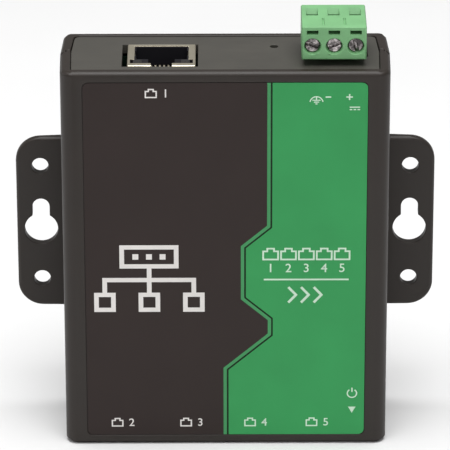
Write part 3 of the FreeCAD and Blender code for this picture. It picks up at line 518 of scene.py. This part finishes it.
def plate(across, up, faces, front, back):
    """A thin closed plate: faces over points in X and Z at depth front, the same faces turned round at
    depth back, and a wall along each edge that only one face has."""
    face = np.stack([across, np.full_like(across, front), up], axis=-1)
    rear = np.stack([across, np.full_like(across, back), up], axis=-1)
    edges = np.stack([faces, np.roll(faces, -1, axis=1)], axis=-1).reshape(-1, 2)
    _, pair, uses = np.unique(np.sort(edges, axis=1), axis=0, return_inverse=True, return_counts=True)
    rim = edges[uses[pair.ravel()] == 1]
    shift = len(face)
    walls = np.concatenate([rim, rim[:, ::-1] + shift], axis=1)
    turned_round = faces[:, ::-1] + shift
    return np.concatenate([face, rear]), [*faces.tolist(), *turned_round.tolist(), *walls[:, ::-1].tolist()]


label_low, label_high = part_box("front_label")
LABEL_ROUND = 1.4 * MM
LINE_WIDTH = 0.78 * MM
LINE_GAP = 0.42 * MM
FIELD_EDGE = np.array([
    (-0.53, 0.0), (-0.53, 20.26), (9.97, 29.26), (9.97, 32.8),
    (3.6, 38.25), (3.6, 52.06), (9.75, 57.3), (9.75, 96.0),
]) * MM
ink_edges = [FIELD_EDGE + mitres(FIELD_EDGE) * shift for shift in (0, LINE_WIDTH, LINE_WIDTH + LINE_GAP)]
corner = LABEL_ROUND * (1 - np.cos(np.linspace(0, math.pi / 2, ROUND_STEPS)))
heights = np.unique(np.concatenate([
    label_low[2] + corner,
    label_high[2] - corner,
    *[path[1:-1, 1] for path in ink_edges],
]))
from_end = np.minimum(heights - label_low[2], label_high[2] - heights)
sunk = np.clip(LABEL_ROUND - from_end, 0, None)
half = label_high[0] - LABEL_ROUND + np.sqrt(LABEL_ROUND ** 2 - sunk ** 2)
ink_columns = [np.interp(heights, path[:, 1], path[:, 0]) for path in ink_edges]
film_across = np.stack([-half, *ink_columns, half], axis=-1)
film_up = np.repeat(heights[:, None], film_across.shape[1], axis=1)
film_faces = strip_faces(*film_across.shape)
points, faces = plate(film_across.ravel(), film_up.ravel(), film_faces, label_low[1], label_high[1])
LABEL_DARK, LABEL_LINE, LABEL_SHADE, LABEL_GREEN = range(4)
strip_inks = np.array([LABEL_DARK, LABEL_LINE, LABEL_SHADE, LABEL_GREEN])
inks = np.full(len(faces), LABEL_DARK)
inks[:len(film_faces)] = np.tile(strip_inks, len(heights) - 1)
film_inks = [
    film_finish("dark_film", colour(46, 37, 35)),
    film_finish("line_film", colour(66, 143, 90)),
    film_finish("shade_film", colour(3, 34, 8)),
    film_finish("green_film", colour(53, 148, 84)),
]
film = mesh_piece("front_film", points, faces, film_inks, inks)
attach(film, "chassis")
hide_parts("front_label")


# Print on the label
# White screen print on the film: port signs with plain numbers, the polarity, earth and direct
# current signs of the supply, an on sign at the lamp, and simple pictures of a network and of a row
# of five ports.

INK_HEIGHT = 0.02 * MM
ink_front, ink_back = label_low[1] - INK_HEIGHT, label_low[1]
print_points = []
print_faces = []


def lay_ink(across, up, faces):
    """Add one printed shape, a thin plate over flat faces, to the print."""
    start = sum(len(earlier) for earlier in print_points)
    points, plate_faces = plate(across, up, faces, ink_front, ink_back)
    print_points.append(points)
    print_faces.extend([[corner + start for corner in face] for face in plate_faces])


def stroke(path, width, closed=False):
    """A line of ink along a path in millimetres: each point is moved to both sides along the mitre of
    its two segments by half the width, which may differ from point to point."""
    path = np.array(path, dtype=float) * MM
    reach = mitres(path, closed) * np.broadcast_to(np.asarray(width) * MM / 2, len(path))[:, None]
    sides = np.stack([path - reach, path + reach], axis=1)
    lay_ink(sides[:, :, 0].ravel(), sides[:, :, 1].ravel(), strip_faces(len(path), 2, closed))


NUMERAL_BOLD = 0.006


def numeral(number, middle, low, height):
    """A plain number, upright on the label, centred on a place and standing on a height."""
    curve = bpy.data.curves.new("numeral", "FONT")
    curve.body = str(number)
    curve.align_x = "CENTER"
    curve.offset = NUMERAL_BOLD
    letter = bpy.data.objects.new("numeral", curve)
    mesh = bpy.data.meshes.new_from_object(letter)
    mesh.calc_loop_triangles()
    outline = np.empty(len(mesh.vertices) * 3)
    mesh.vertices.foreach_get("co", outline)
    outline = outline.reshape(-1, 3)
    triangles = np.empty(len(mesh.loop_triangles) * 3, dtype=int)
    mesh.loop_triangles.foreach_get("vertices", triangles)
    triangles = triangles.reshape(-1, 3)
    scale = height * MM / np.ptp(outline[:, 1])
    across = outline[:, 0] * scale + middle * MM
    up = (outline[:, 1] - outline[:, 1].min()) * scale + low * MM
    lay_ink(across, up, triangles)
    bpy.data.objects.remove(letter)
    bpy.data.curves.remove(curve)
    bpy.data.meshes.remove(mesh)


JACK_SIGN = np.array([
    (-1.0, -0.8), (1.0, -0.8), (1.0, 0.4), (0.45, 0.4), (0.45, 0.8), (-0.45, 0.8), (-0.45, 0.4), (-1.0, 0.4),
])


def port_sign(middle, low, height, line):
    """The outline of a jack's mouth, as high as a number beside it."""
    stroke(JACK_SIGN * height / np.ptp(JACK_SIGN[:, 1]) + (middle, low + height / 2), line, closed=True)


def level(left, right, height, line):
    """A level line of ink."""
    stroke([(left, height), (right, height)], line)


def upright(across, start, end, line):
    """An upright line of ink."""
    stroke([(across, start), (across, end)], line)


def arc(middle, radius, start, end, count, line):
    """A line of ink along part of a circle, between two angles in degrees."""
    turn = np.radians(np.linspace(start, end, count))
    stroke(np.stack([np.cos(turn), np.sin(turn)], axis=-1) * radius + middle, line)


def frame_sign(middle, half, low, high, line):
    """The outline of a rectangle."""
    stroke([(middle - half, low), (middle + half, low), (middle + half, high), (middle - half, high)],
           line, closed=True)


TOP_SIGNS = 89.9
LOW_SIGNS = 4.8
SIGN_HEIGHT = 2.0
SIGN_LINE = 0.32
SIGN_SHIFT = 1.7
PORT_SIGNS = {
    1: (-15.5, TOP_SIGNS),
    2: (-24.2, LOW_SIGNS),
    3: (-7.8, LOW_SIGNS),
    4: (7.5, LOW_SIGNS),
    5: (22.2, LOW_SIGNS),
}
for port, (middle, low) in PORT_SIGNS.items():
    port_sign(middle - SIGN_SHIFT, low, SIGN_HEIGHT, SIGN_LINE)
    numeral(port, middle + SIGN_SHIFT, low, SIGN_HEIGHT)

SUPPLY_LINE = 0.32
MINUS_LEFT, MINUS_RIGHT = 23.2, 24.5
PLUS_MIDDLE, PLUS_HALF = 28.75, 0.75
level(MINUS_LEFT, MINUS_RIGHT, TOP_SIGNS, SUPPLY_LINE)
level(PLUS_MIDDLE - PLUS_HALF, PLUS_MIDDLE + PLUS_HALF, TOP_SIGNS, SUPPLY_LINE)
upright(PLUS_MIDDLE, TOP_SIGNS - PLUS_HALF, TOP_SIGNS - SUPPLY_LINE / 2, SUPPLY_LINE)
upright(PLUS_MIDDLE, TOP_SIGNS + SUPPLY_LINE / 2, TOP_SIGNS + PLUS_HALF, SUPPLY_LINE)

DIRECT_LINE = 0.28
DIRECT_LEFT, DIRECT_RIGHT = 28.8, 31.2
DIRECT_HEIGHT, DASH_HEIGHT = 87.35, 86.75
DASH_LENGTH, DASH_PITCH, DASHES = 0.6, 0.9, 3
level(DIRECT_LEFT, DIRECT_RIGHT, DIRECT_HEIGHT, DIRECT_LINE)
for step in range(DASHES):
    dash = DIRECT_LEFT + DASH_PITCH * step
    level(dash, dash + DASH_LENGTH, DASH_HEIGHT, DIRECT_LINE)

EARTH_X, EARTH_Z = 21.1, 88.5
EARTH_LINE = 0.26
EARTH_RADIUS = 1.5
EARTH_START, EARTH_END, EARTH_POINTS = 8, 172, 19
EARTH_TOP = 0.6
EARTH_BARS = ((EARTH_TOP, 0.95), (0.15, 0.6), (-0.3, 0.25))
arc((EARTH_X, EARTH_Z), EARTH_RADIUS, EARTH_START, EARTH_END, EARTH_POINTS, EARTH_LINE)
upright(EARTH_X, EARTH_Z + EARTH_RADIUS - EARTH_LINE / 2, EARTH_Z + EARTH_TOP + EARTH_LINE / 2, EARTH_LINE)
for rise, reach in EARTH_BARS:
    level(EARTH_X - reach, EARTH_X + reach, EARTH_Z + rise, EARTH_LINE)

LAMP_X, LAMP_Z = 30.1, 13.4
LAMP_LINE = 0.3
LAMP_RADIUS = 1.1
LAMP_START, LAMP_END, LAMP_POINTS = 125, 415, 29
STEM_LOW, STEM_HIGH = 0.35, 1.5
ARROW_TOP, ARROW_TIP = 9.83, 8.23
ARROW_WIDTHS = [1.8, 0.02]
arc((LAMP_X, LAMP_Z), LAMP_RADIUS, LAMP_START, LAMP_END, LAMP_POINTS, LAMP_LINE)
upright(LAMP_X, LAMP_Z + STEM_LOW, LAMP_Z + STEM_HIGH, LAMP_LINE)
upright(LAMP_X, ARROW_TOP, ARROW_TIP, ARROW_WIDTHS)

NET_LINE = 1.1
NET_EDGE = NET_LINE / 2
NET_MIDDLE = -18.0
HUB_HALF, HUB_LOW, HUB_HIGH = 6.4, 46.9, 51.8
HUB_LAMP, HUB_LAMP_PITCH = 1.4, 3.2
BUS_HEIGHT, BUS_REACH = 43.35, 10.5
STATION_HALF, STATION_LOW, STATION_HIGH = 2.0, 35.6, 39.5
station_top = STATION_HIGH + NET_EDGE
frame_sign(NET_MIDDLE, HUB_HALF, HUB_LOW, HUB_HIGH, NET_LINE)
for step in (-1, 0, 1):
    middle = NET_MIDDLE + HUB_LAMP_PITCH * step
    level(middle - HUB_LAMP / 2, middle + HUB_LAMP / 2, (HUB_LOW + HUB_HIGH) / 2, HUB_LAMP)
upright(NET_MIDDLE, HUB_LOW - NET_EDGE, BUS_HEIGHT + NET_EDGE, NET_LINE)
stroke([(NET_MIDDLE - BUS_REACH, station_top), (NET_MIDDLE - BUS_REACH, BUS_HEIGHT),
        (NET_MIDDLE + BUS_REACH, BUS_HEIGHT), (NET_MIDDLE + BUS_REACH, station_top)], NET_LINE)
upright(NET_MIDDLE, BUS_HEIGHT - NET_EDGE, station_top, NET_LINE)
for step in (-1, 0, 1):
    frame_sign(NET_MIDDLE + BUS_REACH * step, STATION_HALF, STATION_LOW, STATION_HIGH, NET_LINE)

ROW_MIDDLE, ROW_PITCH, ROW_LINE = 19.0, 4.2, 0.4
ROW_SIGNS, ROW_SIGN_HEIGHT = 48.6, 2.8
ROW_NUMBERS, ROW_NUMBER_HEIGHT = 45.3, 2.2
RULE_HEIGHT, RULE_HALF = 43.4, 10.0
CHEVRONS, CHEVRON_PITCH, CHEVRON_LINE = 3, 3.0, 0.6
CHEVRON_START, CHEVRON_REACH = -4.2, 1.8
CHEVRON_LOW, CHEVRON_MIDDLE, CHEVRON_HIGH = 37.4, 39.4, 41.4
for port in PORTS:
    middle = ROW_MIDDLE + (port - np.mean(PORTS)) * ROW_PITCH
    port_sign(middle, ROW_SIGNS, ROW_SIGN_HEIGHT, ROW_LINE)
    numeral(port, middle, ROW_NUMBERS, ROW_NUMBER_HEIGHT)
level(ROW_MIDDLE - RULE_HALF, ROW_MIDDLE + RULE_HALF, RULE_HEIGHT, ROW_LINE)
for step in range(CHEVRONS):
    start = ROW_MIDDLE + CHEVRON_START + CHEVRON_PITCH * step
    tip = (start + CHEVRON_REACH, CHEVRON_MIDDLE)
    stroke([(start, CHEVRON_LOW), tip, (start, CHEVRON_HIGH)], CHEVRON_LINE)

points = np.concatenate(print_points)
middles = np.array([points[face].mean(axis=0) for face in print_faces])
INK_ON_DARK, INK_ON_GREEN = 0, 1
over_green = middles[:, 0] > np.interp(middles[:, 2], FIELD_EDGE[:, 1], FIELD_EDGE[:, 0])
white_inks = [
    film_finish("white_ink", colour(222, 218, 215), rough=(0.45, 0.55)),
    film_finish("white_ink_over_green", colour(198, 224, 202), rough=(0.45, 0.55)),
]
print_piece = mesh_piece("white_print", points, print_faces, white_inks,
                         np.where(over_green, INK_ON_GREEN, INK_ON_DARK))
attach(print_piece, "chassis")


# Plug
# The pluggable half of the supply terminal: a green moulding whose nose sits in the header, with
# tin-plated contacts, and for each wire a slotted steel screw that draws up a plated cage. The
# slopes that lead a wire into its entry belong to the moulding.

# Each clamp screw's share of the bright steel tone is painted sheen: how much reflected light its head shows.
SCREW_PAINTED_SHEEN = {"left": 0.85, "middle": 1.1, "right": 0.6}
screw_middles = {side: np.mean(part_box(f"clamp_screw_{side}"), axis=0) for side in SCREW_PAINTED_SHEEN}
PLUG_EDGE = 0.12
RIM_EDGE = 0.3
RIM_REACH = 2.2 * MM
CLAMP_EDGE = 0.15
LATHE_RINGS = 900.0
plug_low, plug_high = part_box("plug_housing")


def plug_rounding(place):
    """Rounding of the plug in millimetres: only on edges that lie on its outer faces, and wider round
    the holes of the screws."""
    outer = on_walls(place, plug_low, plug_high)
    from_screw = min(math.hypot(place.x - axis[0], place.z - axis[2]) for axis in screw_middles.values())
    if outer[1] and from_screw < RIM_REACH:
        return RIM_EDGE
    return PLUG_EDGE if outer.any() else 0


polished("plug_housing", "plug", plug_green, RIM_EDGE, plug_rounding)
paint(tin_brass, "plug_contacts")


def bars(profile, spans):
    """Closed prisms: a profile of points in Y and Z, carried along X from one end to the other of each
    span."""
    count = len(profile)
    corners = np.arange(count)
    following = np.roll(corners, -1)
    walls = np.stack([corners, following, following + count, corners + count], axis=-1)
    points = [np.column_stack([np.full(count, end), profile]) for span in spans for end in span]
    faces = []
    for start in range(0, 2 * count * len(spans), 2 * count):
        caps = [corners[::-1] + start, corners + count + start]
        faces.extend(face.tolist() for face in [*(walls + start), *caps])
    return np.concatenate(points), faces


POLE_PITCH = 5.0 * MM
ENTRY_HALF = 1.35 * MM
ENTRY_REAR = 11.9
SLOPE_TOP, SLOPE_END, SLOPE_FOOT = -0.02, -1.19, -2.1
SLOPE_REACH, FOOT_REACH = 0.9, 0.6
LEAD_IN = np.array([
    (ENTRY_REAR, SLOPE_TOP),
    (ENTRY_REAR - SLOPE_REACH, SLOPE_END),
    (ENTRY_REAR - SLOPE_REACH, SLOPE_FOOT),
    (ENTRY_REAR - FOOT_REACH, SLOPE_FOOT),
]) * MM
pole_middles = (plug_low[0] + plug_high[0]) / 2 + np.array([-1, 0, 1]) * POLE_PITCH
points, faces = bars(LEAD_IN + (plug_low[1], plug_high[2]),
                     [(middle - ENTRY_HALF, middle + ENTRY_HALF) for middle in pole_middles])
lead_ins = mesh_piece("wire_lead_ins", points, faces, [plug_green])
sealed(lead_ins)
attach(lead_ins, "plug")


def turned_steel(name, axis, painted_sheen):
    """Steel from a lathe: fine rings about the axis of the screw in its gloss and its height. Each screw's
    tone is its own share of the bright tone: painted sheen, higher on a screw that shows more reflected
    light."""
    material, shader, point = new_finish(name, Metallic=1.0)
    centred = point.node("ShaderNodeMapping", None, {"Vector": point, "Location": tuple(-np.array(axis))})
    rings = centred.node("ShaderNodeTexWave", {"wave_type": "RINGS", "rings_direction": "Y"},
                         {"Vector": centred, "Scale": LATHE_RINGS, "Distortion": 1.5, "Detail": 2.0})
    cloud = point.noise(0.9, 3.0)
    tone = darker(colour(196, 188, 188), painted_sheen)
    feed(shader,
         Base_Color=cloud.ramp(0.35, 0.6).blend(tone, darker(tone, 0.22)),
         Roughness=rings * 0.15 + 0.2,
         Normal=bump(rings, 0.01, 0.3))
    return material


for side, painted_sheen in SCREW_PAINTED_SHEEN.items():
    polished(f"clamp_screw_{side}", f"clamp_screw_{side}",
             turned_steel(f"clamp_steel_{side}", screw_middles[side], painted_sheen), CLAMP_EDGE)
paint(zinc, *[f"clamp_cage_{side}" for side in SCREW_PAINTED_SHEEN])


# Supply lamp
# A small domed lamp of diffusing resin. Its black moulded holder sits on the board, and the lamp
# looks out of the bottom panel.

DOME_STEPS = 13
led_low, led_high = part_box("power_led")
led_radius = (led_high[0] - led_low[0]) / 2
bow = np.linspace(0, math.pi / 2, DOME_STEPS)
led_profile = np.concatenate([led_radius * np.sin(bow), [led_radius, 0]])
led_along = np.concatenate([led_low[2] + led_radius * (1 - np.cos(bow)), [led_high[2], led_high[2]]])
first, second, place, faces = turned(led_profile, led_along)
led_middle = (led_low + led_high) / 2
led_points = np.stack([first + led_middle[0], second + led_middle[1], place], axis=-1).reshape(-1, 3)
lamp = mesh_piece("lamp_dome", led_points, faces.tolist(), [lamp_resin("supply_lamp", colour(120, 150, 110))])
sealed(lamp)
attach(lamp, "chassis")
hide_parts("power_led")
paint(chip_black, "power_led_holder")


# Studio
# A pale floor under the case, a large soft lamp above it, weaker ones in front and at the left, and
# a long lens that looks down on the front from where the photograph was taken.

FLOOR_SIZE = 6.0
FLOOR_DEEP = (0.76, 0.76, 0.76, 1.0)
FLOOR_PALE = (0.8, 0.8, 0.8, 1.0)


def floor_finish():
    """Pale matt floor with the faintest mottling."""
    material, shader, point = new_finish("pale_floor", Roughness=0.9)
    mottle = point.noise(60.0)
    feed(shader, Base_Color=mottle.blend(FLOOR_DEEP, FLOOR_PALE))
    return material


ends = np.array([-1.0, 1.0]) * FLOOR_SIZE / 2
floor_x, floor_y = np.meshgrid(ends, ends)
floor_points = np.stack([floor_x.ravel(), floor_y.ravel(), np.zeros(4)], axis=-1)
floor = mesh_piece("floor", floor_points, [[0, 1, 3, 2]], [floor_finish()])


def soft_lamp(name, place, target, size, watts):
    """A square area lamp at a place, facing a target."""
    data = bpy.data.lights.new(name, "AREA")
    data.size = size
    data.energy = watts
    lamp = bpy.data.objects.new(name, data)
    lamp.location = place
    lamp.rotation_euler = (Vector(target) - Vector(place)).to_track_quat("-Z", "Y").to_euler()
    bpy.context.scene.collection.objects.link(lamp)


middle = (cad_box[0] + cad_box[1]) / 2
soft_lamp("top_lamp", (0.0, -0.15, 1.0), middle, size=0.8, watts=13.0)
soft_lamp("front_lamp", (0.25, -1.2, 0.7), middle, size=0.9, watts=2.0)
soft_lamp("left_lamp", (-1.0, 0.1, 0.35), middle, size=0.6, watts=1.5)

SKY_COLOUR = (1.0, 1.0, 1.0, 1.0)
SKY_STRENGTH = 0.3
world = bpy.data.worlds.new("studio")
bpy.context.scene.world = world
world.use_nodes = True
sky = world.node_tree.nodes["Background"]
sky.inputs["Color"].default_value = SKY_COLOUR
sky.inputs["Strength"].default_value = SKY_STRENGTH

PHOTO_WIDTH = 450
FOCAL_PIXELS = 4176.1
SENSOR = 36.0
CAMERA_PLACE = Vector((-1.2, -904.2, 460.1)) * MM
CAMERA_DOWN, CAMERA_RIGHT, CAMERA_ROLL = 24.30, 0.07, -0.11
lens = bpy.data.cameras.new("photo_camera")
lens.sensor_fit = "HORIZONTAL"
lens.sensor_width = SENSOR
lens.lens = FOCAL_PIXELS / PHOTO_WIDTH * SENSOR
camera = bpy.data.objects.new("photo_camera", lens)
tilt = Euler([math.radians(90 - CAMERA_DOWN), 0, math.radians(-CAMERA_RIGHT)])
roll = Matrix.Rotation(math.radians(CAMERA_ROLL), 4, "Z")
camera.matrix_world = Matrix.Translation(CAMERA_PLACE) @ tilt.to_matrix().to_4x4() @ roll
bpy.context.scene.collection.objects.link(camera)
bpy.context.scene.camera = camera
bpy.context.scene.view_settings.view_transform = "Standard"
